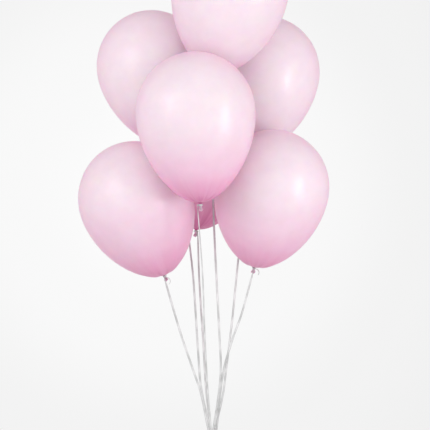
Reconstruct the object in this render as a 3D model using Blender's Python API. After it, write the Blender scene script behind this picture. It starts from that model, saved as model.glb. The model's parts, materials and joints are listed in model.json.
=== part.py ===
"""A bunch of seven latex balloons on ribbons, gathered in one knot.

Metres, +Z up. The origin is the centre of the gather knot, where a hand or a weight holds the
bunch. +X is to the right and +Y away from the front balloon.
"""
import math

import bmesh
import bpy
from mathutils import Euler, Matrix, Vector

# Balloons
BALLOON_WIDTH = 0.272
BALLOON_LENGTH = 0.342       # from crown to throat
CROWN_SHARE = 0.41           # of the length, above the widest ring
TAPER = 0.17                 # how far the lower half draws in from an ellipse
FILM = 0.0004                # skin thickness
NECK_RADIUS = 0.003
NECK_LENGTH = 0.006          # from the throat to the middle of the tie
NECK_FLARE = 2.2             # radius of the throat, in neck radii
NECK_ROUNDING = 0.25         # of the neck's length, where the throat turns into the neck
LIP_RADIUS = 0.005
LIP_LENGTH = 0.013
LIP_BEAD = 0.0009
LIP_RECESS = 0.006
LIP_PINCH = 0.8              # radius just under the tie, in neck radii
LIP_PINCH_DROP = 0.0012      # how far under the tie that is
LIP_SPREAD = 0.55            # of the lip's length, where it starts to flare

# Ribbon and ties
RIBBON_WIDTH = 0.005
RIBBON_FOLDED = 0.28         # width where it enters a knot, as a share of its own width
FOLD_LENGTH = 0.025          # over which it opens to its own width
TIE_HEIGHT = 0.005
TIE_WALL = 0.0018
TIE_TURNS = 3
TURN_DEPTH = 0.0004          # how far the groove between two turns goes in
BOW_RADIUS = 0.0024          # the small knot that the ribbon leaves
BOW_SINK = 0.0004            # how far that knot is pressed into the turns

# Gather knot, a little under everything else
KNOT_RADIUS = 0.0095
KNOT_FLATNESS = 0.9
TAIL_LENGTH = 0.032
TAIL_TOP_RADIUS = 0.0035
TAIL_END_RADIUS = 0.0085
TAIL_SHOULDER = 0.0012

GAP = 0.0003                 # between pieces that touch
ROUND_STEPS = 20
NECK_STEPS = 12
CROWN_RINGS = 5
BELLY_RINGS = 7
RIBBON_STEPS = 22
CURVE_STEPS = 40             # between two points of a route, before it is evenly divided

# The bunch. Each balloon's widest ring is placed in balloon widths (x, y) and lengths (z) from
# the middle of the bunch, so that a bigger balloon spreads the nest it lies in.
BUNCH_HEIGHT = 0.80
# Its top leans by a slope in widths per length, for the same reason.
# name: (place, lean to +X and to -Y, side of the neck that the ribbon leaves, in degrees)
NEST = {
    "front": ((-0.143, -1.004, -0.005), (-0.066, 0.044), 190),
    "top": ((0.151, -0.688, 0.863), (0.267, 0.29), 270),
    "upper_left": ((-0.540, -0.066, 0.371), (-0.409, 0.11), 270),
    "upper_right": ((0.471, 0.154, 0.351), (0.244, -0.088), 90),
    "lower_left": ((-0.676, -0.386, -0.571), (-0.458, 0.458), 250),
    "lower_right": ((0.515, -0.404, -0.492), (0.267, 0.458), 270),
    "back": ((-0.059, 0.809, -0.205), (0.177, -0.177), 315),
}

# Each ribbon's route up from the gather knot, in millimetres. It ends at the balloon's tie.
ROUTES = {
    "front": [(-5, -18, 45), (-13, -64, 147), (-19, -120, 272), (-24, -190, 430)],
    "top": [(1, -8, 45), (11, -19, 110), (19, -30, 190), (15, -41, 290), (1, -62, 588)],
    "upper_left": [(-8, 4, 45), (-29, 3, 145), (-37, 3, 240), (-48, 2, 409), (-60, 2, 520)],
    "upper_right": [(6, 4, 45), (24, 6, 126), (32, 8, 187), (47, 13, 309), (57, 17, 408)],
    "lower_left": [(-12, -5, 45), (-29, -11, 130), (-50, -18, 195), (-80, -27, 285)],
    "lower_right": [(9, -7, 45), (18, -13, 135), (27, -18, 195), (47, -25, 265), (71, -31, 333)],
    "back": [(-6, 15, 45), (-17, 48, 134), (-25, 92, 254), (-35, 145, 400)],
}

NECK_BORE = NECK_RADIUS + GAP
TIE_RADIUS = NECK_BORE + TIE_WALL
BOW_OFFSET = TIE_RADIUS + BOW_RADIUS - BOW_SINK


def clear_scene():
    for obj in list(bpy.data.objects):
        bpy.data.objects.remove(obj, do_unlink=True)


def material(name, colour, roughness):
    mat = bpy.data.materials.new(name)
    mat.use_nodes = True
    shader = mat.node_tree.nodes["Principled BSDF"]
    shader.inputs["Base Color"].default_value = (*colour, 1)
    shader.inputs["Roughness"].default_value = roughness
    shader.inputs["Metallic"].default_value = 0
    mat.diffuse_color = (*colour, 1)
    return mat


def add_object(name, mesh, mat, parent=None):
    obj = bpy.data.objects.new(name, mesh)
    bpy.context.collection.objects.link(obj)
    mesh.materials.append(mat)
    obj.parent = parent
    return obj


def turned(name, profile, steps):
    """A closed mesh turned about Z. The profile's points are (radius, height)."""
    bm = bmesh.new()
    points = [bm.verts.new((radius, 0, height)) for radius, height in profile]
    edges = [bm.edges.new(pair) for pair in zip(points, points[1:])]
    bmesh.ops.spin(
        bm, geom=points + edges, axis=(0, 0, 1), cent=(0, 0, 0), steps=steps, angle=2 * math.pi
    )
    bmesh.ops.remove_doubles(bm, verts=bm.verts, dist=1e-6)
    bmesh.ops.recalc_face_normals(bm, faces=bm.faces)
    mesh = bpy.data.meshes.new(name)
    bm.to_mesh(mesh)
    bm.free()
    mesh.shade_smooth()
    return mesh


def skin_profile(inset):
    """One side of the skin from crown to the middle of the tie, whose height is 0. The inset
    moves it in by the film's thickness."""
    radius = BALLOON_WIDTH / 2 - inset
    rise = CROWN_SHARE * BALLOON_LENGTH - inset
    drop = (1 - CROWN_SHARE) * BALLOON_LENGTH - inset
    widest = NECK_LENGTH + (1 - CROWN_SHARE) * BALLOON_LENGTH
    points = [(0, widest + rise)]
    for i in range(1, CROWN_RINGS):
        angle = math.pi / 2 * (1 - i / CROWN_RINGS)
        points.append((radius * math.cos(angle), widest + rise * math.sin(angle)))
    throat = NECK_FLARE * NECK_RADIUS - inset
    last = math.acos(throat / (radius * (1 - TAPER)))
    for i in range(BELLY_RINGS + 1):
        angle = last * i / BELLY_RINGS
        taper = 1 - TAPER * math.sin(angle) ** 2
        points.append((radius * math.cos(angle) * taper, widest - drop * math.sin(angle)))
    neck = NECK_RADIUS - inset
    points.append(((throat + 2 * neck) / 3, points[-1][1] - NECK_ROUNDING * NECK_LENGTH))
    points.append((neck, TIE_HEIGHT / 2))
    points.append((neck, 0))
    return points


def envelope_mesh():
    outside = skin_profile(0)
    inside = skin_profile(FILM)
    return turned("envelope", outside + inside[::-1], ROUND_STEPS)


def lip_mesh():
    """The end of the neck under the tie, flaring to a rolled bead around a shallow mouth."""
    end = -LIP_LENGTH
    bead = LIP_RADIUS - LIP_BEAD
    profile = [
        (0, -GAP),
        (NECK_RADIUS, -GAP),
        (NECK_RADIUS, -TIE_HEIGHT / 2),
        (LIP_PINCH * NECK_RADIUS, -TIE_HEIGHT / 2 - LIP_PINCH_DROP),
        (NECK_RADIUS, -LIP_SPREAD * LIP_LENGTH),
        (bead, end + 2.4 * LIP_BEAD),
        (LIP_RADIUS, end + 1.6 * LIP_BEAD),
        (LIP_RADIUS, end + 0.5 * LIP_BEAD),
        (bead, end),
        (bead - LIP_BEAD, end + 0.8 * LIP_BEAD),
        (0, end + LIP_RECESS),
    ]
    return turned("lip", profile, NECK_STEPS)


def tie_profile():
    """Turns of ribbon around the neck: a bore and an outside with one round bulge a turn."""
    points = [(NECK_BORE, TIE_HEIGHT / 2)]
    steps = 2 * TIE_TURNS
    for i in range(steps + 1):
        bulge = abs(math.sin(math.pi * TIE_TURNS * i / steps))
        height = TIE_HEIGHT / 2 - TIE_HEIGHT * i / steps
        points.append((TIE_RADIUS - TURN_DEPTH * (1 - bulge), height))
    points.append((NECK_BORE, -TIE_HEIGHT / 2))
    points.append(points[0])
    return points


def tie_mesh():
    """The turns and the small knot beside them, as one body. Its origin is that small knot."""
    turns = bpy.data.objects.new("turns", turned("turns", tie_profile(), NECK_STEPS))
    bm = bmesh.new()
    bmesh.ops.create_uvsphere(bm, u_segments=10, v_segments=7, radius=BOW_RADIUS)
    bmesh.ops.translate(bm, verts=bm.verts, vec=(BOW_OFFSET, 0, 0))
    bow_mesh = bpy.data.meshes.new("bow")
    bm.to_mesh(bow_mesh)
    bm.free()
    bow = bpy.data.objects.new("bow", bow_mesh)
    for obj in (turns, bow):
        bpy.context.collection.objects.link(obj)
    union = turns.modifiers.new("bow", "BOOLEAN")
    union.operation = "UNION"
    union.object = bow
    graph = bpy.context.evaluated_depsgraph_get()
    mesh = bpy.data.meshes.new_from_object(turns.evaluated_get(graph))
    mesh.name = "tie"
    mesh.transform(Matrix.Translation((-BOW_OFFSET, 0, 0)))
    mesh.shade_smooth()
    for obj in (turns, bow):
        bpy.data.objects.remove(obj, do_unlink=True)
    return mesh


def attitude(lean, side):
    """The turn of one balloon: its top leans to +X and -Y, and its local +X is the side of the
    neck that the ribbon leaves."""
    across, forward = (math.atan(slope * BALLOON_WIDTH / BALLOON_LENGTH) for slope in lean)
    tip = Euler((forward, across, 0)).to_matrix()
    return (tip @ Matrix.Rotation(math.radians(side), 3, "Z")).to_4x4()


def neck_place(place, turn):
    """The middle of the tie."""
    widest = Vector(
        (
            place[0] * BALLOON_WIDTH,
            place[1] * BALLOON_WIDTH,
            place[2] * BALLOON_LENGTH + BUNCH_HEIGHT,
        )
    )
    return widest - turn @ Vector((0, 0, NECK_LENGTH + (1 - CROWN_SHARE) * BALLOON_LENGTH))


def smooth_curve(points, steps):
    """Evenly spaced points on a Catmull-Rom curve through the given ones."""
    ends = [2 * points[0] - points[1], *points, 2 * points[-1] - points[-2]]
    fine = []
    for a, b, c, d in zip(ends, ends[1:], ends[2:], ends[3:]):
        for i in range(CURVE_STEPS):
            t = i / CURVE_STEPS
            bend = 2 * a - 5 * b + 4 * c - d
            fine.append(b + t * (c - a) / 2 + t * t * bend / 2 + t**3 * (3 * b - 3 * c + d - a) / 2)
    fine.append(points[-1])
    far = [0.0]
    for a, b in zip(fine, fine[1:]):
        far.append(far[-1] + (b - a).length)
    even, k = [], 0
    for i in range(steps):
        want = far[-1] * i / (steps - 1)
        while k < len(far) - 2 and far[k + 1] < want:
            k += 1
        share = (want - far[k]) / (far[k + 1] - far[k])
        even.append(fine[k].lerp(fine[k + 1], min(share, 1)))
    return even


def ribbon_route(name, pivot):
    """From the gather knot's surface up to the small knot at the balloon."""
    points = [Vector(p) / 1000 for p in ROUTES[name]]
    start = points[0].normalized() * (KNOT_RADIUS + GAP)
    down = (points[-1] - pivot).normalized()
    return smooth_curve([start, *points, pivot + down * (BOW_RADIUS + GAP)], RIBBON_STEPS)


def add_ribbon(name, route, mat):
    """A round tube as wide as the flat ribbon, folded narrow where it enters a knot."""
    curve = bpy.data.curves.new(name, "CURVE")
    curve.dimensions = "3D"
    curve.bevel_depth = RIBBON_WIDTH / 2
    curve.bevel_resolution = 2
    curve.use_fill_caps = True
    spline = curve.splines.new("POLY")
    spline.points.add(len(route) - 1)
    for point, place in zip(spline.points, route):
        to_end = min((place - route[0]).length, (place - route[-1]).length)
        point.co = (*place, 1)
        point.radius = min(1, RIBBON_FOLDED + (1 - RIBBON_FOLDED) * to_end / FOLD_LENGTH)
    curve.materials.append(mat)
    obj = bpy.data.objects.new(name, curve)
    bpy.context.collection.objects.link(obj)
    return obj


def add_balloon(name, meshes, latex, satin):
    place, lean, side = NEST[name]
    turn = attitude(lean, side)
    neck = neck_place(place, turn)
    pivot = neck + turn @ Vector((BOW_OFFSET, 0, 0))
    nod = bpy.data.objects.new(f"{name}_nod_axis", None)
    nod.matrix_world = Matrix.Translation(pivot) @ turn
    spin = bpy.data.objects.new(f"{name}_spin_axis", None)
    spin.parent = nod
    spin.location = (-BOW_OFFSET, 0, 0)
    for empty in (nod, spin):
        bpy.context.collection.objects.link(empty)
    add_object(f"{name}_envelope", meshes["envelope"].copy(), latex, spin)
    add_object(f"{name}_lip", meshes["lip"].copy(), latex, spin)
    add_object(f"{name}_tie", meshes["tie"].copy(), satin, nod)
    add_ribbon(f"{name}_ribbon", ribbon_route(name, pivot), satin)


def add_gather_knot(mat):
    bm = bmesh.new()
    bmesh.ops.create_uvsphere(bm, u_segments=16, v_segments=10, radius=KNOT_RADIUS)
    for vert in bm.verts:
        if vert.co.z < 0:
            vert.co.z *= KNOT_FLATNESS
    mesh = bpy.data.meshes.new("gather_knot")
    bm.to_mesh(mesh)
    bm.free()
    mesh.shade_smooth()
    add_object("gather_knot", mesh, mat)


def add_gather_tails(mat):
    """The outer shape of the trimmed ribbon ends that spread out under the knot."""
    top = -KNOT_FLATNESS * KNOT_RADIUS - GAP
    end = top - TAIL_LENGTH
    profile = [
        (0, top),
        (TAIL_TOP_RADIUS, top - TAIL_SHOULDER),
        ((TAIL_TOP_RADIUS + TAIL_END_RADIUS) / 2, (top + end) / 2),
        (TAIL_END_RADIUS, end),
        (0, end),
    ]
    add_object("gather_tails", turned("gather_tails", profile, NECK_STEPS), mat)


def main():
    clear_scene()
    latex = material("pink_latex", (0.86, 0.55, 0.70), 0.35)
    satin = material("white_ribbon", (0.90, 0.90, 0.90), 0.4)
    add_gather_knot(satin)
    add_gather_tails(satin)
    meshes = {"envelope": envelope_mesh(), "lip": lip_mesh(), "tie": tie_mesh()}
    for name in NEST:
        add_balloon(name, meshes, latex, satin)


main()
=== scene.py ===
"""Looks for the bunch of latex balloons: pearl skins, rolled lips, wound ties and satin ribbons."""
import json
import math
import random

import bpy
from mathutils import Matrix, Vector


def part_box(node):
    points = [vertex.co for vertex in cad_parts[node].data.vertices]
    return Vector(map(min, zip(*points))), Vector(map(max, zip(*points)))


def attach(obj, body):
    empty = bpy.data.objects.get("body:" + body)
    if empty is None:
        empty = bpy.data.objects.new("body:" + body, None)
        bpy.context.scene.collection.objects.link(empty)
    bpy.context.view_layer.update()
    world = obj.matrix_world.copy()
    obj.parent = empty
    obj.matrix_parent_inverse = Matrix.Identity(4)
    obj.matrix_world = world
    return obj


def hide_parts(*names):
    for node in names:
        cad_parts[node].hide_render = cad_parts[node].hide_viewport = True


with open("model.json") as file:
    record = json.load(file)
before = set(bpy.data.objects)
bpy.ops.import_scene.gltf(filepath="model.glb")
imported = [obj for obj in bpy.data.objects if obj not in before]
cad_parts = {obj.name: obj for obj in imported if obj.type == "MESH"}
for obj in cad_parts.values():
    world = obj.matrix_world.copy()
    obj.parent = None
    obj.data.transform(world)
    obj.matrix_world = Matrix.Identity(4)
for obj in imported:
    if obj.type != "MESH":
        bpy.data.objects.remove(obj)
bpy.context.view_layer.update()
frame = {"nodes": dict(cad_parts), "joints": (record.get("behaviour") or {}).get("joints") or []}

TAU = 2 * math.pi
JOINTS = {joint["name"]: joint for joint in frame["joints"]}
BALLOONS = [name[: -len("_spin")] for name in JOINTS if name.endswith("_spin")]

# Camera and backdrop, metres. The camera looks level along +Y.
CAMERA_PLACE = (0.0049, -3.6, 0.5684)
CAMERA_LENS = 123.0
CAMERA_SENSOR = 36.0
FLOOR_LEVEL = -0.75
FLOOR_RADIUS = 4.4
BACKDROP_CENTRE = (-0.0374, 1.0, 0.017)
DOME_CENTRE = (-0.1, -0.85, 0.35)

# Skins
CROWN_SHARE = 0.41           # of the length, above the widest ring
TAPER = 0.17
CROWN_TIP = 0.012            # radians short of the pole, where the crown closes
THROAT_RADIUS = 0.0066
NECK_LENGTH = 0.006          # from the middle of the tie to the throat
NECK_RADIUS = 0.0029
NECK_TOP = 0.0025            # the height at which the throat has become the neck
SKIN_SIDES = 112
SKIN_RINGS = 84
NECK_RINGS = 10
FOLD_DEPTH = 0.16            # of the radius, at the neck
FOLD_REACH = 0.011
FOLD_SINK = 0.3              # of the folds' depth, by which they draw the neck in
OUT_OF_ROUND = 0.0022        # of the radius, at the belly
CROWN_BUTTON = 0.0007
CROWN_BUTTON_WIDTH = 0.006

# How far up from its neck each balloon's deep colour reaches, beside the front one's. Beyond the
# thicker latex at the neck, this paints shade and light: larger for the back balloon, in the shade
# of the others, and for the two lower ones, whose undersides lie in shade; smaller for the top and
# upper right ones, whose lower parts are lit.
DEEP_COLOUR_SHADE_AND_LIGHT = {
    "front": 1.0, "top": 0.3, "upper_left": 0.8, "upper_right": 0.35, "lower_left": 1.65,
    "lower_right": 1.45, "back": 2.5,
}

# Lips
LIP_RADIUS = 0.0047
LIP_SPREAD = 0.20            # how much wider the slack mouth lies than it is deep
LIP_LENGTH = 0.013
LIP_TOP = -0.0003
LIP_TOP_HOLE = 0.0012        # radius at which the top closes
LIP_NECK_SHARE = 0.93        # of the neck's radius
LIP_NECK_END = -0.0025
LIP_BEAD = 0.0009
BEAD_FLATNESS = 0.98
BEAD_STEPS = 10
LIP_SIDES = 60
# Radius and height of the outside, between the neck and the bead
LIP_OUTSIDE = [(0.0024, -0.0038), (0.0025, -0.0052), (0.0029, -0.0070), (0.0035, -0.0088),
               (0.0040, -0.0102)]
# Radius of the inside and its height above the mouth
LIP_INSIDE = [(0.0027, 0.0036), (0.0018, 0.0060), (0.0006, 0.0074)]
LIP_RUFFLE = 0.05            # of the radius, at the mouth
LIP_PLEAT = 0.05             # of the radius, at the tie
MOUTH_WAVE = 0.0009
MOUTH_DROOP = 0.0014         # how much lower the mouth hangs on its wide sides
LIP_COLOUR_TOP = 0.17        # place in the latex's colours, and how far it falls to the mouth
LIP_COLOUR_FALL = 0.12

# Ribbon
RIBBON_WIDTH = 0.005
RIBBON_THICKNESS = 0.00032
RIBBON_RIBS = 6
RIB_DEPTH = 0.00009
RIB_POINTS = 24
RIBBON_STEP = 0.0045
RIBBON_FOLDED = 0.28         # width where it enters a knot, as a share of its own width
FOLD_LENGTH = 0.025
PLEAT_DEPTH = 0.0009
CURVE_STEPS = 40             # between two points of a route, before it is evenly divided

# Ties
TIE_HEIGHT = 0.005
TIE_TURNS = 3
TIE_MIDDLE = 0.0042          # radius to the middle of the wound ribbon
TIE_THICKNESS = 0.0013
TURN_STEPS = 26
TURN_OVERLAP = 1.15          # width of a turn beside the room that it has
TURN_INSET = 0.0009          # of the outer turns' middles from the tie's two ends
TURN_WOBBLE = 0.00010
BOW_RADIUS = 0.0024
BOW_SHARE = 0.62             # of that radius, to the middle of the strand that is knotted
BOW_STEPS = 44
BOW_STRAND = (0.0017, 0.0013)
BAND_STRAND = (0.0019, 0.0009)
BAND_STEPS = 14
# The band from the turns over the small knot and back, in millimetres
BAND_ROUTE = [(4.3, -3.2, 2.0), (5.35, -1.2, 1.1), (5.7, 0.5, -0.2), (5.2, 2.0, -1.3),
              (4.0, 3.4, -2.0)]
GAP = 0.0003

# Each ribbon's route up from the gather knot, in metres, as the CAD has it
ROUTES = {
    "front": [(-0.005, -0.018, 0.045), (-0.013, -0.064, 0.147), (-0.019, -0.120, 0.272),
              (-0.024, -0.190, 0.430)],
    "top": [(0.001, -0.008, 0.045), (0.011, -0.019, 0.110), (0.019, -0.030, 0.190),
            (0.015, -0.041, 0.290), (0.001, -0.062, 0.588)],
    "upper_left": [(-0.008, 0.004, 0.045), (-0.029, 0.003, 0.145), (-0.037, 0.003, 0.240),
                   (-0.048, 0.002, 0.409), (-0.060, 0.002, 0.520)],
    "upper_right": [(0.006, 0.004, 0.045), (0.024, 0.006, 0.126), (0.032, 0.008, 0.187),
                    (0.047, 0.013, 0.309), (0.057, 0.017, 0.408)],
    "lower_left": [(-0.012, -0.005, 0.045), (-0.029, -0.011, 0.130), (-0.050, -0.018, 0.195),
                   (-0.080, -0.027, 0.285)],
    "lower_right": [(0.009, -0.007, 0.045), (0.018, -0.013, 0.135), (0.027, -0.018, 0.195),
                    (0.047, -0.025, 0.265), (0.071, -0.031, 0.333)],
    "back": [(-0.006, 0.015, 0.045), (-0.017, 0.048, 0.134), (-0.025, 0.092, 0.254),
             (-0.035, 0.145, 0.400)],
}
# How each ribbon turns about its own length: where it starts at the gather knot, and how far it
# turns from there to its tie, both in half turns
TWISTS = {
    "front": (0.08, 0.30), "top": (-0.16, 0.45), "upper_left": (0.15, -0.50),
    "upper_right": (-0.12, 0.42), "lower_left": (0.22, -0.36), "lower_right": (-0.20, 0.40),
    "back": (0.20, -0.42),
}
# Where each tie's trimmed end points, in degrees from +X, and how long it is
TIE_ENDS = {
    "front": (340, 0.014), "top": (300, 0.016), "upper_left": (200, 0.016),
    "upper_right": (20, 0.015), "lower_left": (352, 0.024), "lower_right": (335, 0.020),
    "back": (250, 0.018),
}
# The curl of that end: how far out, down and to the side, as shares of its length
END_CURL = [(0.30, 0.02, 0.0), (0.55, 0.20, 0.08), (0.62, 0.50, 0.16), (0.48, 0.74, 0.20)]
END_START = 0.0012           # from the middle of the small knot
END_STEPS = 26
END_WIDTH = 0.72             # of the ribbon's own width, because it is split
END_PLEAT = 0.0002

# Gather knot and the ends under it
RIBBON_COUNT = 7
BUNDLE_BULGE = 0.09          # how deep the grooves between the bundled ribbons go
LOOP_SHARE = 0.64            # of the knot's radius, to the middle of the loop
LOOP_STEPS = 72
LOOP_WIDTH = 0.80            # of the knot's radius
LOOP_THICKNESS = 0.52
CORE_STEPS = 12
CORE_WIDTH = 0.78            # of the knot's radius, at its two ends
CORE_SWELL = 0.5             # how much wider the core is at its middle
CORE_FLATNESS = 0.8
TAIL_SPREAD = 0.0075
TAIL_START = 0.0016          # from the knot's axis
TAIL_SUNK = 0.002            # how far the ends reach up into the knot
TAIL_STEPS = 20


def add_camera():
    data = bpy.data.cameras.new("camera")
    data.lens = CAMERA_LENS
    data.sensor_width = CAMERA_SENSOR
    camera = bpy.data.objects.new("camera", data)
    camera.location = CAMERA_PLACE
    camera.rotation_euler = (math.pi / 2, 0, 0)
    bpy.context.scene.collection.objects.link(camera)
    bpy.context.scene.camera = camera


# ---------------------------------------------------------------- nodes

class Tree:
    """Short ways to add nodes to one material or world."""

    def __init__(self, owner):
        owner.use_nodes = True
        self.nodes = owner.node_tree.nodes
        self.links = owner.node_tree.links

    def add(self, kind, **settings):
        node = self.nodes.new(f"ShaderNode{kind}")
        for name, value in settings.items():
            setattr(node, name, value)
        return node

    def join(self, source, target):
        self.links.new(source, target)

    def feed(self, node, slot, value):
        """Sets an input to a number or joins it to another node's output."""
        if isinstance(value, bpy.types.NodeSocket):
            self.join(value, node.inputs[slot])
        else:
            node.inputs[slot].default_value = value

    def math(self, operation, first, second=0.0):
        node = self.add("Math", operation=operation)
        self.feed(node, 0, first)
        self.feed(node, 1, second)
        return node.outputs[0]

    def spread(self, value, low, high, out_low=0.0, out_high=1.0):
        """A value eased from one range to another."""
        node = self.add("MapRange", interpolation_type="SMOOTHSTEP")
        for slot, number in enumerate((value, low, high, out_low, out_high)):
            self.feed(node, slot, number)
        return node.outputs[0]

    def noise(self, vector, scale, detail=2.0):
        node = self.add("TexNoise")
        self.feed(node, "Vector", vector)
        self.feed(node, "Scale", scale)
        self.feed(node, "Detail", detail)
        return node.outputs["Fac"]

    def scaled(self, vector, scale):
        node = self.add("VectorMath", operation="MULTIPLY")
        self.feed(node, 0, vector)
        self.feed(node, 1, scale)
        return node.outputs[0]

    def ramp(self, value, stops, blend="EASE"):
        node = self.add("ValToRGB")
        node.color_ramp.interpolation = blend
        elements = node.color_ramp.elements
        for place, colour in stops[1:-1]:
            elements.new(place)
        for element, (place, colour) in zip(elements, stops):
            element.position = place
            element.color = (*colour, 1)
        self.feed(node, 0, value)
        return node.outputs[0]

    def mix(self, share, first, second, blend="MIX"):
        node = self.add("Mix", data_type="RGBA", blend_type=blend)
        self.feed(node, 0, share)
        self.feed(node, 6, first)
        self.feed(node, 7, second)
        return node.outputs[2]

    def bump(self, height, strength, distance, under=None):
        node = self.add("Bump")
        self.feed(node, "Height", height)
        node.inputs["Strength"].default_value = strength
        node.inputs["Distance"].default_value = distance
        if under is not None:
            self.join(under, node.inputs["Normal"])
        return node.outputs["Normal"]


def start_material(name, values):
    """A material whose shader has these plain values."""
    mat = bpy.data.materials.new(name)
    tree = Tree(mat)
    shader = tree.nodes["Principled BSDF"]
    for slot, value in values.items():
        shader.inputs[slot].default_value = value
    return mat, tree, shader


# ---------------------------------------------------------------- stage

def add_world():
    """A white backdrop, a little darker away from its centre, and a soft dome of light that is
    brighter in front and a little dimmer overhead."""
    world = bpy.data.worlds.new("studio")
    bpy.context.scene.world = world
    tree = Tree(world)
    background = tree.nodes["Background"]
    output = tree.nodes["World Output"]
    place = tree.add("TexCoord").outputs["Generated"]
    apart = tree.add("VectorMath", operation="DISTANCE")
    tree.join(place, apart.inputs[0])
    apart.inputs[1].default_value = Vector(BACKDROP_CENTRE).normalized()
    backdrop = tree.ramp(
        apart.outputs["Value"],
        [(0.0, (0.984,) * 3), (0.10, (0.945,) * 3), (0.18, (0.895,) * 3), (0.26, (0.870,) * 3)],
    )
    tree.join(backdrop, background.inputs["Color"])
    facing = tree.add("VectorMath", operation="DOT_PRODUCT")
    tree.join(place, facing.inputs[0])
    facing.inputs[1].default_value = Vector(DOME_CENTRE).normalized()
    height = tree.add("SeparateXYZ")
    tree.join(place, height.inputs[0])
    dome = tree.add("Background")
    front = tree.spread(facing.outputs["Value"], -0.4, 0.95, 0.78, 0.925)
    above = tree.spread(height.outputs["Z"], -0.2, 0.9, 1.0, 0.72)
    light = tree.math("MULTIPLY", front, above)
    tree.join(light, dome.inputs["Strength"])
    dome.inputs["Color"].default_value = (1.0, 0.985, 0.992, 1)
    seen = tree.add("LightPath").outputs["Is Camera Ray"]
    both = tree.add("MixShader")
    tree.join(seen, both.inputs[0])
    tree.join(dome.outputs[0], both.inputs[1])
    tree.join(background.outputs[0], both.inputs[2])
    tree.join(both.outputs[0], output.inputs["Surface"])


def add_light(name, towards, distance, size, power, aim):
    """A soft box that shines at aim from the direction given, unseen by the camera."""
    data = bpy.data.lights.new(name, "AREA")
    data.shape = "RECTANGLE"
    data.size, data.size_y = size
    data.energy = power
    light = bpy.data.objects.new(name, data)
    direction = Vector(towards).normalized()
    light.location = aim + direction * distance
    light.rotation_mode = "QUATERNION"
    light.rotation_quaternion = direction.to_track_quat("Z", "Y")
    light.visible_camera = False
    bpy.context.scene.collection.objects.link(light)


def add_lights():
    aim = Vector((-0.01, -0.05, 0.74))
    add_light("key", (-0.66, -0.68, 0.27), 2.3, (1.1, 1.1), 10.5, aim)
    add_light("strip", (0.788, -0.616, -0.07), 2.2, (0.42, 0.85), 11.5, aim)
    add_light("top", (0.05, -0.25, 1.0), 2.4, (2.2, 1.6), 1, aim)


def floor_material():
    mat, tree, shader = start_material("floor", {"Roughness": 0.8, "Specular IOR Level": 0.2})
    place = tree.add("TexCoord").outputs["Object"]
    length = tree.add("VectorMath", operation="LENGTH")
    tree.join(place, length.inputs[0])
    grain = tree.noise(place, 3.0)
    pale = tree.ramp(grain, [(0.0, (0.86, 0.85, 0.855)), (1.0, (0.90, 0.89, 0.895))])
    tree.join(pale, shader.inputs["Base Color"])
    clear = tree.add("BsdfTransparent")
    edge = tree.spread(length.outputs["Value"], 0.45 * FLOOR_RADIUS, 0.98 * FLOOR_RADIUS)
    both = tree.add("MixShader")
    tree.join(edge, both.inputs[0])
    tree.join(shader.outputs[0], both.inputs[1])
    tree.join(clear.outputs[0], both.inputs[2])
    tree.join(both.outputs[0], tree.nodes["Material Output"].inputs["Surface"])
    return mat


def add_floor():
    """A pale disc that fades out towards its rim."""
    sides = 96
    rim = [
        (FLOOR_RADIUS * math.cos(TAU * i / sides), FLOOR_RADIUS * math.sin(TAU * i / sides), 0)
        for i in range(sides)
    ]
    mesh = bpy.data.meshes.new("floor")
    mesh.from_pydata(rim, [], [list(range(sides))])
    mesh.materials.append(floor_material())
    floor = bpy.data.objects.new("floor", mesh)
    floor.location = (0, 0, FLOOR_LEVEL)
    bpy.context.scene.collection.objects.link(floor)


# ---------------------------------------------------------------- materials

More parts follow.
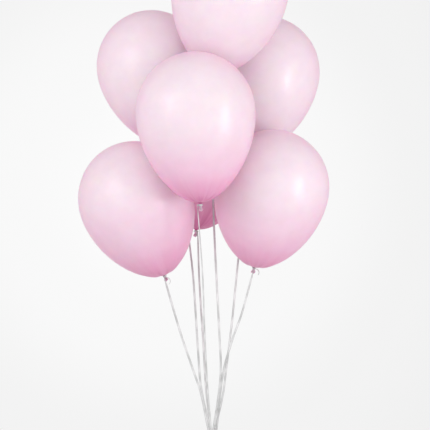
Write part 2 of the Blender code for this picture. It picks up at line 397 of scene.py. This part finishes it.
def latex_material():
    """Pearl pink latex. The skin is thin and pale at the belly and thick, so deeper in colour, at
    the neck, where the deep colour runs up in streaks. The deep colour near the neck is also
    painted shade of the underside, and how far up it reaches on each balloon is painted shade for
    those that sit in shade and painted light for those whose lower parts are lit."""
    mat, tree, shader = start_material(
        "pink_latex",
        {
            "IOR": 1.52,
            "Subsurface Weight": 0.80,
            "Subsurface Radius": (1.0, 0.45, 0.66),
            "Subsurface Scale": 0.055,
            "Coat Weight": 1.0,
            "Coat Roughness": 0.30,
            "Coat IOR": 1.12,
            "Coat Tint": (1.0, 0.890, 0.945, 1),
            "Sheen Weight": 0.22,
            "Sheen Roughness": 0.40,
            "Sheen Tint": (1.0, 0.42, 0.68, 1),
        },
    )
    place = tree.add("TexCoord").outputs["Object"]
    skin = tree.add("Attribute", attribute_name="skin").outputs["Vector"]
    parts = tree.add("SeparateXYZ")
    tree.join(skin, parts.inputs[0])
    # Each balloon's reach of the deep colour, which paints its shade and light
    deep_colour_shade_and_light = tree.add("Attribute", attribute_name="deep_colour_shade_and_light").outputs["Fac"]
    share = tree.math("DIVIDE", parts.outputs["Z"], deep_colour_shade_and_light)
    streaks = tree.noise(tree.scaled(skin, (7.0, 7.0, 1.2)), 1.0, 3.0)
    near_neck = tree.spread(share, 0.02, 0.34, 1.0, 0.0)
    shift = tree.math("MULTIPLY", tree.math("SUBTRACT", streaks, 0.5), near_neck)
    place_along = tree.math("ADD", share, tree.math("MULTIPLY", shift, 0.10))
    # Colour from the neck up: deeper at the neck for the thicker latex, and also painted shade of
    # the underside
    colour = tree.ramp(
        place_along,
        [
            (0.0, (0.60, 0.16, 0.35)),
            (0.06, (0.83, 0.43, 0.62)),
            (0.18, (0.935, 0.68, 0.805)),
            (0.42, (0.95, 0.865, 0.905)),
            (0.62, (0.95, 0.92, 0.935)),
            (1.0, (0.95, 0.92, 0.935)),
        ],
        "CARDINAL",
    )
    mottle = tree.ramp(tree.noise(place, 26.0, 4.0), [(0.3, (0.965,) * 3), (0.7, (1.0,) * 3)])
    tree.join(tree.mix(1.0, colour, mottle, "MULTIPLY"), shader.inputs["Base Color"])
    cloud = tree.noise(place, 40.0, 3.0)
    tree.join(tree.spread(cloud, 0.25, 0.75, 0.295, 0.35), shader.inputs["Roughness"])
    grain = tree.bump(tree.noise(place, 900.0, 2.0), 0.10, 0.00012)
    drawn = tree.bump(tree.math("MULTIPLY", streaks, near_neck), 0.35, 0.0006, grain)
    tree.join(drawn, shader.inputs["Normal"])
    return mat


def ribbon_material():
    """White satin curling ribbon, with fine ribs along it and faint marks across where it was
    drawn out. Its colour carries painted shade: grey bands along it, darker edges and darker
    grooves between the ribs."""
    mat, tree, shader = start_material(
        "white_ribbon",
        {
            "IOR": 1.49,
            "Specular IOR Level": 0.6,
            "Coat Weight": 0.25,
            "Coat Roughness": 0.18,
            "Sheen Weight": 0.25,
            "Sheen Roughness": 0.3,
            "Anisotropic": 0.5,
        },
    )
    strip = tree.add("Attribute", attribute_name="strip").outputs["Vector"]
    parts = tree.add("SeparateXYZ")
    tree.join(strip, parts.inputs[0])
    across, along = parts.outputs["X"], parts.outputs["Y"]
    threads = tree.math("SINE", tree.math("MULTIPLY", across, TAU * 2 * RIBBON_RIBS))
    marks = tree.noise(tree.scaled(strip, (1.5, 420.0, 1.0)), 1.0, 2.0)
    bands = tree.noise(tree.scaled(strip, (0.4, 26.0, 0.0)), 1.0, 2.0)
    # Painted shade: grey bands along the ribbon
    shade = tree.ramp(bands, [(0.32, (0.62, 0.64, 0.63)), (0.68, (0.89, 0.905, 0.90))])
    # Painted shade: darker towards both edges
    side = tree.spread(tree.math("ABSOLUTE", across), 0.32, 0.50, 1.0, 0.58)
    # Painted shade: darker in the grooves between the ribs
    painted_rib_shade = tree.spread(threads, -1.0, 0.4, 0.86, 1.0)
    painted_edge_and_rib_shade = tree.math("MULTIPLY", side, painted_rib_shade)
    grey = tree.ramp(painted_edge_and_rib_shade, [(0.0, (0.0,) * 3), (1.0, (1.0,) * 3)])
    tree.join(tree.mix(1.0, shade, grey, "MULTIPLY"), shader.inputs["Base Color"])
    tree.join(tree.spread(marks, 0.3, 0.7, 0.22, 0.36), shader.inputs["Roughness"])
    ribs = tree.bump(threads, 0.5, 0.00004)
    tree.join(tree.bump(marks, 0.2, 0.00006, ribs), shader.inputs["Normal"])
    return mat


# ---------------------------------------------------------------- meshes

def build_mesh(name, rings, extra, attribute, mat, closed):
    """A tube of rings of points, each ring with the same number of them. closed gives whether the
    first and the last ring are filled."""
    sides = len(rings[0])
    points = [point for ring in rings for point in ring]
    faces = []
    for i in range(len(rings) - 1):
        for j in range(sides):
            k = (j + 1) % sides
            faces.append((i * sides + j, i * sides + k, (i + 1) * sides + k, (i + 1) * sides + j))
    if closed[0]:
        faces.append(tuple(range(sides))[::-1])
    if closed[1]:
        last = (len(rings) - 1) * sides
        faces.append(tuple(range(last, last + sides)))
    mesh = bpy.data.meshes.new(name)
    mesh.from_pydata(points, [], faces)
    layer = mesh.attributes.new(attribute, "FLOAT_VECTOR", "POINT")
    layer.data.foreach_set("vector", [number for ring in extra for item in ring for number in item])
    mesh.materials.append(mat)
    mesh.shade_smooth()
    mesh.update()
    piece = bpy.data.objects.new(name, mesh)
    bpy.context.scene.collection.objects.link(piece)
    return piece


def mark_deep_colour_shade_and_light(piece, name):
    """How far up from the neck the deep colour of this balloon reaches, beside the front one's:
    painted shade for balloons that sit in shade, painted light for those whose lower parts are lit.
    """
    layer = piece.data.attributes.new("deep_colour_shade_and_light", "FLOAT", "POINT")
    layer.data.foreach_set("value", [DEEP_COLOUR_SHADE_AND_LIGHT[name]] * len(piece.data.vertices))


def balloon_place(name):
    """The turn and place of one balloon: Z is its axis, from the middle of the tie, and X points
    at the small knot where its ribbon leaves."""
    neck = Vector(JOINTS[f"{name}_spin"]["pos_m"])
    up = Vector(JOINTS[f"{name}_spin"]["axis"]).normalized()
    bow = Vector(JOINTS[f"{name}_nod"]["pos_m"])
    side = (bow - neck - up * (bow - neck).dot(up)).normalized()
    turn = Matrix((side, up.cross(side), up)).transposed().to_4x4()
    return Matrix.Translation(neck) @ turn


def skin_size(name, place):
    """Largest radius and height of the crown, read from the CAD skin."""
    back = place.inverted()
    points = [back @ vert.co for vert in frame["nodes"][f"{name}_envelope"].data.vertices]
    return max(math.hypot(p.x, p.y) for p in points), max(p.z for p in points)


def skin_outline(radius, crown):
    """Radius and height from the crown down to the neck."""
    length = crown - NECK_LENGTH
    widest = NECK_LENGTH + (1 - CROWN_SHARE) * length
    last = math.acos(THROAT_RADIUS / (radius * (1 - TAPER)))
    first = -math.pi / 2 + CROWN_TIP
    outline = []
    for i in range(SKIN_RINGS + 1):
        angle = first + (last - first) * i / SKIN_RINGS
        if angle < 0:
            r, z = radius * math.cos(angle), widest - CROWN_SHARE * length * math.sin(angle)
        else:
            taper = 1 - TAPER * math.sin(angle) ** 2
            r = radius * math.cos(angle) * taper
            z = widest - (1 - CROWN_SHARE) * length * math.sin(angle)
        outline.append((r, z))
    throat_r, throat_z = outline[-1]
    for i in range(1, NECK_RINGS + 1):
        share = i / NECK_RINGS
        z = throat_z + (0 - throat_z) * share
        sink = min(1, (throat_z - z) / (throat_z - NECK_TOP))
        r = throat_r + (NECK_RADIUS - throat_r) * math.sin(sink * math.pi / 2)
        outline.append((r, z))
    return outline


def add_skin(name, place, mat, draw):
    radius, crown = skin_size(name, place)
    phases = [draw.uniform(0, TAU) for _ in range(4)]
    rings, extra = [], []
    for r, z in skin_outline(radius, crown):
        fold = FOLD_DEPTH * math.exp(-max(0, z - NECK_TOP) / FOLD_REACH)
        button = CROWN_BUTTON * math.exp(-((r / CROWN_BUTTON_WIDTH) ** 2)) if z > crown / 2 else 0
        ring, marks = [], []
        for j in range(SKIN_SIDES):
            angle = TAU * j / SKIN_SIDES
            pleats = 0.6 * math.cos(8 * angle + phases[0]) + 0.4 * math.cos(13 * angle + phases[1])
            swell = math.sin(math.pi * min(1, z / crown))
            belly = OUT_OF_ROUND * math.cos(2 * angle + phases[2]) * swell
            here = r * (1 + fold * (pleats - FOLD_SINK) + belly)
            ring.append(
                place @ Vector((here * math.cos(angle), here * math.sin(angle), z + button))
            )
            marks.append((math.cos(angle), math.sin(angle), z / crown))
        rings.append(ring[::-1])
        extra.append(marks[::-1])
    skin = build_mesh(f"{name}_skin", rings, extra, "skin", mat, (True, True))
    mark_deep_colour_shade_and_light(skin, name)
    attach(skin, f"{name}_balloon")
    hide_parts(f"{name}_envelope")


def add_lip(name, place, mat, draw):
    """The end of the neck under the tie: it flares, ruffled, to its rolled bead, and is hollow."""
    end = -LIP_LENGTH
    neck = NECK_RADIUS * LIP_NECK_SHARE
    inside = LIP_RADIUS - 2.1 * LIP_BEAD
    profile = [(LIP_TOP_HOLE, LIP_TOP), (neck, LIP_TOP), (neck, LIP_NECK_END), *LIP_OUTSIDE]
    for i in range(BEAD_STEPS + 1):
        turn = math.radians(-50 + 250 * i / BEAD_STEPS)
        profile.append(
            (LIP_RADIUS - LIP_BEAD + LIP_BEAD * math.cos(turn) * BEAD_FLATNESS,
             end + LIP_BEAD - LIP_BEAD * math.sin(turn))
        )
    profile += [(r, end + z) for r, z in [(inside, 0.0016), *LIP_INSIDE]]
    phases = [draw.uniform(0, TAU) for _ in range(3)]
    tilt, tilt_way = draw.uniform(0.10, 0.22), draw.uniform(0, TAU)
    across = place.to_3x3().inverted() @ Vector((1, 0, 0))
    wide = math.atan2(across.y, across.x) + draw.uniform(-0.4, 0.4)
    rings, extra = [], []
    for r, z in profile:
        down = max(0.0, -z / LIP_LENGTH)
        ring, marks = [], []
        for j in range(LIP_SIDES):
            angle = TAU * j / LIP_SIDES
            lobes = math.cos(2 * (angle - wide))
            wave = math.cos(3 * angle + phases[0]) + 0.6 * math.cos(7 * angle + phases[1])
            pleat = math.cos(9 * angle + phases[2])
            slack = LIP_SPREAD * lobes + LIP_RUFFLE * wave
            here = r * (1 + slack * down**1.5 + LIP_PLEAT * (1 - down) * pleat)
            drop = z + (MOUTH_WAVE * wave + MOUTH_DROOP * lobes) * down * down
            drop += tilt * here * math.cos(angle - tilt_way) * down
            ring.append(place @ Vector((here * math.cos(angle), here * math.sin(angle), drop)))
            colour_place = LIP_COLOUR_TOP - LIP_COLOUR_FALL * down
            marks.append((math.cos(angle), math.sin(angle), colour_place))
        rings.append(ring[::-1])
        extra.append(marks[::-1])
    lip = build_mesh(f"{name}_mouth", rings, extra, "skin", mat, (True, True))
    mark_deep_colour_shade_and_light(lip, name)
    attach(lip, f"{name}_balloon")
    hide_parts(f"{name}_lip")


def smooth_curve(points, steps):
    """Evenly spaced points on a Catmull-Rom curve through the given ones."""
    ends = [2 * points[0] - points[1], *points, 2 * points[-1] - points[-2]]
    fine = []
    for a, b, c, d in zip(ends, ends[1:], ends[2:], ends[3:]):
        for i in range(CURVE_STEPS):
            t = i / CURVE_STEPS
            bend = 2 * a - 5 * b + 4 * c - d
            fine.append(b + t * (c - a) / 2 + t * t * bend / 2 + t**3 * (3 * b - 3 * c + d - a) / 2)
    fine.append(points[-1])
    far = [0.0]
    for a, b in zip(fine, fine[1:]):
        far.append(far[-1] + (b - a).length)
    even, k = [], 0
    for i in range(steps):
        want = far[-1] * i / (steps - 1)
        while k < len(far) - 2 and far[k + 1] < want:
            k += 1
        share = (want - far[k]) / (far[k + 1] - far[k])
        even.append(fine[k].lerp(fine[k + 1], min(share, 1)))
    return even


def path_length(path):
    return sum((b - a).length for a, b in zip(path, path[1:]))


def strip_section(width, thickness, pleat):
    """Outline of a flat ribbon with fine ribs, drawn together in pleats where it is folded."""
    upper, lower = [], []
    for j in range(RIB_POINTS + 1):
        share = j / RIB_POINTS - 0.5
        rib = RIB_DEPTH * math.cos(TAU * RIBBON_RIBS * share)
        wave = pleat * math.cos(3 * math.pi * share)
        upper.append((share * width, thickness / 2 + rib + wave))
        lower.append((share * width, -thickness / 2 + rib + wave))
    return upper + lower[::-1]


def sweep(name, path, normals, sections, mat):
    """A solid strip that follows the path. Each section lies across the path, with its second
    coordinate along that point's normal."""
    rings, extra, along = [], [], 0.0
    for i, here in enumerate(path):
        before, after = path[max(i - 1, 0)], path[min(i + 1, len(path) - 1)]
        tangent = (after - before).normalized()
        across = tangent.cross(normals[i]).normalized()
        normal = across.cross(tangent)
        width = max(u for u, _ in sections[i]) * 2
        rings.append([here + across * u + normal * v for u, v in sections[i]])
        extra.append([(u / width, along, 0.0) for u, _ in sections[i]])
        along += (after - here).length
    return build_mesh(name, rings, extra, "strip", mat, (True, True))


def carried_normals(path, first, turn_at):
    """Normals carried along the path without twist, then turned about it by turn_at(share)."""
    tangent = (path[1] - path[0]).normalized()
    normal = (first - tangent * first.dot(tangent)).normalized()
    found = []
    for i in range(len(path)):
        before, after = path[max(i - 1, 0)], path[min(i + 1, len(path) - 1)]
        ahead = (after - before).normalized()
        normal = tangent.rotation_difference(ahead) @ normal
        tangent = ahead
        share = i / (len(path) - 1)
        found.append(Matrix.Rotation(turn_at(share), 3, tangent) @ normal)
    return found


def folded_sections(path, at_start, at_end):
    """A ribbon's sections along a path: its own width, folded narrow towards the ends asked for."""
    total, along, sections = path_length(path), 0.0, []
    for i, here in enumerate(path):
        to_knot = min(along if at_start else 1.0, total - along if at_end else 1.0)
        share = min(1.0, RIBBON_FOLDED + (1 - RIBBON_FOLDED) * to_knot / FOLD_LENGTH)
        share = share * share * (3 - 2 * share) if share < 1 else 1.0
        share = max(share, RIBBON_FOLDED)
        pleat = PLEAT_DEPTH * (1 - share) * 0.5
        sections.append(strip_section(RIBBON_WIDTH * share, RIBBON_THICKNESS, pleat))
        if i + 1 < len(path):
            along += (path[i + 1] - here).length
    return sections


def ribbon_route(name):
    """From the gather knot's surface up to the small knot at the balloon."""
    low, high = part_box("gather_knot")
    knot_radius = (high.x - low.x) / 2
    points = [Vector(point) for point in ROUTES[name]]
    bow = Vector(JOINTS[f"{name}_nod"]["pos_m"])
    start = points[0].normalized() * (knot_radius + GAP)
    down = (points[-1] - bow).normalized()
    points = [start, *points, bow + down * (BOW_RADIUS + GAP)]
    steps = int(path_length(points) / RIBBON_STEP)
    return smooth_curve(points, steps)


def add_ribbon(name, mat):
    path = ribbon_route(name)
    start, turns = TWISTS[name]
    normals = carried_normals(
        path, Vector((0, -1, 0)), lambda share: start * math.pi + turns * math.pi * share
    )
    ribbon = sweep(f"{name}_strand", path, normals, folded_sections(path, True, True), mat)
    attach(ribbon, "gather" if name == "top" else f"{name}_run")
    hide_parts(f"{name}_ribbon")


def wound_path():
    """The ribbon wound round the neck, from the small knot and back to it."""
    steps = TURN_STEPS * TIE_TURNS
    path = []
    for i in range(steps + 1):
        share = i / steps
        angle = TAU * (TIE_TURNS * share)
        height = (TIE_HEIGHT / 2 - TURN_INSET) * (1 - 2 * share)
        radius = TIE_MIDDLE + TURN_WOBBLE * math.sin(5 * angle / TIE_TURNS)
        path.append(Vector((radius * math.cos(angle), radius * math.sin(angle), height)))
    return path


def knot_path(radius, steps, centre):
    """A closed trefoil, the shape of a pulled overhand knot."""
    path = []
    for i in range(steps + 1):
        t = TAU * i / steps
        path.append(
            centre
            + radius * Vector(
                (-math.sin(3 * t) * 0.9, math.sin(t) + 2 * math.sin(2 * t),
                 math.cos(t) - 2 * math.cos(2 * t))
            ) / 3
        )
    return path


def round_section(width, thickness, sides=14):
    """A ribbon pulled into a strand: an oval with fine ribs."""
    return [
        (width / 2 * math.cos(TAU * j / sides),
         (thickness / 2) * math.sin(TAU * j / sides) * (1 + 0.10 * math.cos(TAU * 5 * j / sides)))
        for j in range(sides)
    ]


def merge(name, pieces):
    """Joins pieces into one object, each as a body of its own."""
    bpy.ops.object.select_all(action="DESELECT")
    for piece in pieces:
        piece.select_set(True)
    bpy.context.view_layer.objects.active = pieces[0]
    bpy.ops.object.join()
    pieces[0].name = name
    pieces[0].data.name = name
    return pieces[0]


def placed(path, place):
    return [place @ point for point in path]


def add_tie(name, place, mat):
    bow = place.inverted() @ Vector(JOINTS[f"{name}_nod"]["pos_m"])
    path = wound_path()
    out = [Vector((p.x, p.y, 0)).normalized() for p in path]
    turn = place.to_3x3()
    width = TIE_HEIGHT / TIE_TURNS * TURN_OVERLAP
    turns = sweep(
        "turns", placed(path, place), [turn @ normal for normal in out],
        [round_section(width, TIE_THICKNESS)] * len(path), mat,
    )
    across = smooth_curve([Vector(point) / 1000 for point in BAND_ROUTE], BAND_STEPS)
    band = sweep(
        "band", placed(across, place),
        [turn @ Vector((p.x, p.y, 0)).normalized() for p in across],
        [round_section(*BAND_STRAND)] * len(across), mat,
    )
    knot = knot_path(BOW_RADIUS * BOW_SHARE, BOW_STEPS, bow)
    lump = sweep(
        "lump", placed(knot, place),
        [turn @ (p - bow).normalized() for p in knot],
        [round_section(*BOW_STRAND)] * len(knot), mat,
    )
    tie = merge(f"{name}_binding", [turns, band, lump, add_tie_end(name, mat)])
    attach(tie, f"{name}_collar")
    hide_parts(f"{name}_tie")


def add_tie_end(name, mat):
    """The trimmed end of the ribbon that ties the neck: it springs out and curls down."""
    bow = Vector(JOINTS[f"{name}_nod"]["pos_m"])
    azimuth, length = TIE_ENDS[name]
    out = Vector((math.cos(math.radians(azimuth)), math.sin(math.radians(azimuth)), 0))
    down = Vector((0, 0, -1))
    side = out.cross(down)
    points = [bow + out * END_START]
    for ahead, below, beside in END_CURL:
        points.append(bow + out * length * ahead + down * length * below + side * length * beside)
    path = smooth_curve(points, END_STEPS)
    normals = carried_normals(path, down, lambda share: 0.5 * share)
    sections = []
    for i in range(len(path)):
        share = min(1.0, 0.30 + 1.4 * i / len(path))
        pleat = END_PLEAT * (1 - share)
        sections.append(strip_section(END_WIDTH * RIBBON_WIDTH * share, RIBBON_THICKNESS, pleat))
    return sweep("end", path, normals, sections, mat)


def bundle_section(width, thickness):
    """Seven ribbons pulled into one strand: an oval with a bulge for each."""
    sides = RIBBON_COUNT * 6
    section = []
    for j in range(sides):
        angle = TAU * j / sides
        bulge = 0.5 - BUNDLE_BULGE * (1 - abs(math.cos(RIBBON_COUNT / 2 * angle)))
        section.append((width * bulge * math.cos(angle), thickness * bulge * math.sin(angle)))
    return section


def add_gather_knot(mat):
    """All seven ribbons tied together in one overhand knot, pulled tight on itself."""
    low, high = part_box("gather_knot")
    centre, radius = (low + high) / 2, (high.x - low.x) / 2
    trefoil = knot_path(LOOP_SHARE * radius, LOOP_STEPS, Vector())
    loop = [centre + Vector((p.y, p.x, p.z)) for p in trefoil]
    around = sweep(
        "around", loop, [(p - centre).normalized() for p in loop],
        [bundle_section(LOOP_WIDTH * radius, LOOP_THICKNESS * radius)] * len(loop), mat,
    )
    steps = range(CORE_STEPS + 1)
    core = [centre + Vector((0, 0, radius * (i / (CORE_STEPS / 2) - 1))) for i in steps]
    widths = [
        radius * (CORE_WIDTH + CORE_SWELL * math.sin(math.pi * i / CORE_STEPS)) for i in steps
    ]
    through = sweep(
        "through", core, [Vector((0, -1, 0))] * len(core),
        [bundle_section(width, CORE_FLATNESS * width) for width in widths], mat,
    )
    knot = merge("gathering", [around, through])
    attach(knot, "gather")
    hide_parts("gather_knot")
    return knot


def add_gather_tails(mat, draw):
    """The seven trimmed ends, which spread and curl a little under the knot."""
    low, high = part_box("gather_tails")
    centre = (low + high) / 2
    strips = []
    for k in range(RIBBON_COUNT):
        angle = TAU * (k + 0.3 * draw.random()) / RIBBON_COUNT
        out = Vector((math.cos(angle), math.sin(angle), 0))
        side = Vector((-out.y, out.x, 0))
        length = (high.z - low.z) * draw.uniform(0.80, 0.98)
        spread = TAIL_SPREAD * draw.uniform(0.75, 1.1)
        start = Vector((centre.x, centre.y, high.z + TAIL_SUNK)) + out * TAIL_START
        points = [
            start,
            start + out * spread * 0.35 + Vector((0, 0, -length * 0.35)),
            start + out * spread * 0.8 + side * 0.001 + Vector((0, 0, -length * 0.72)),
            start + out * spread * 0.9 + side * 0.003 + Vector((0, 0, -length)),
        ]
        path = smooth_curve(points, TAIL_STEPS)
        normals = carried_normals(path, out, lambda share, s=draw.uniform(-1, 1): s * share)
        sections = folded_sections(path, True, False)
        strips.append(sweep(f"tail{k}", path, normals, sections, mat))
    tails = merge("gathered_tails", strips)
    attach(tails, "gather")
    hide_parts("gather_tails")
    return tails


def main():
    bpy.context.scene.view_settings.view_transform = "Standard"
    add_camera()
    satin = ribbon_material()
    latex = latex_material()
    draw = random.Random(7)
    knot_pieces = [add_gather_knot(satin), add_gather_tails(satin, draw)]
    for name in BALLOONS:
        add_ribbon(name, satin)
    for name in BALLOONS:
        place = balloon_place(name)
        add_skin(name, place, latex, draw)
        add_lip(name, place, latex, draw)
        add_tie(name, place, satin)
    add_world()
    add_lights()
    add_floor()


main()
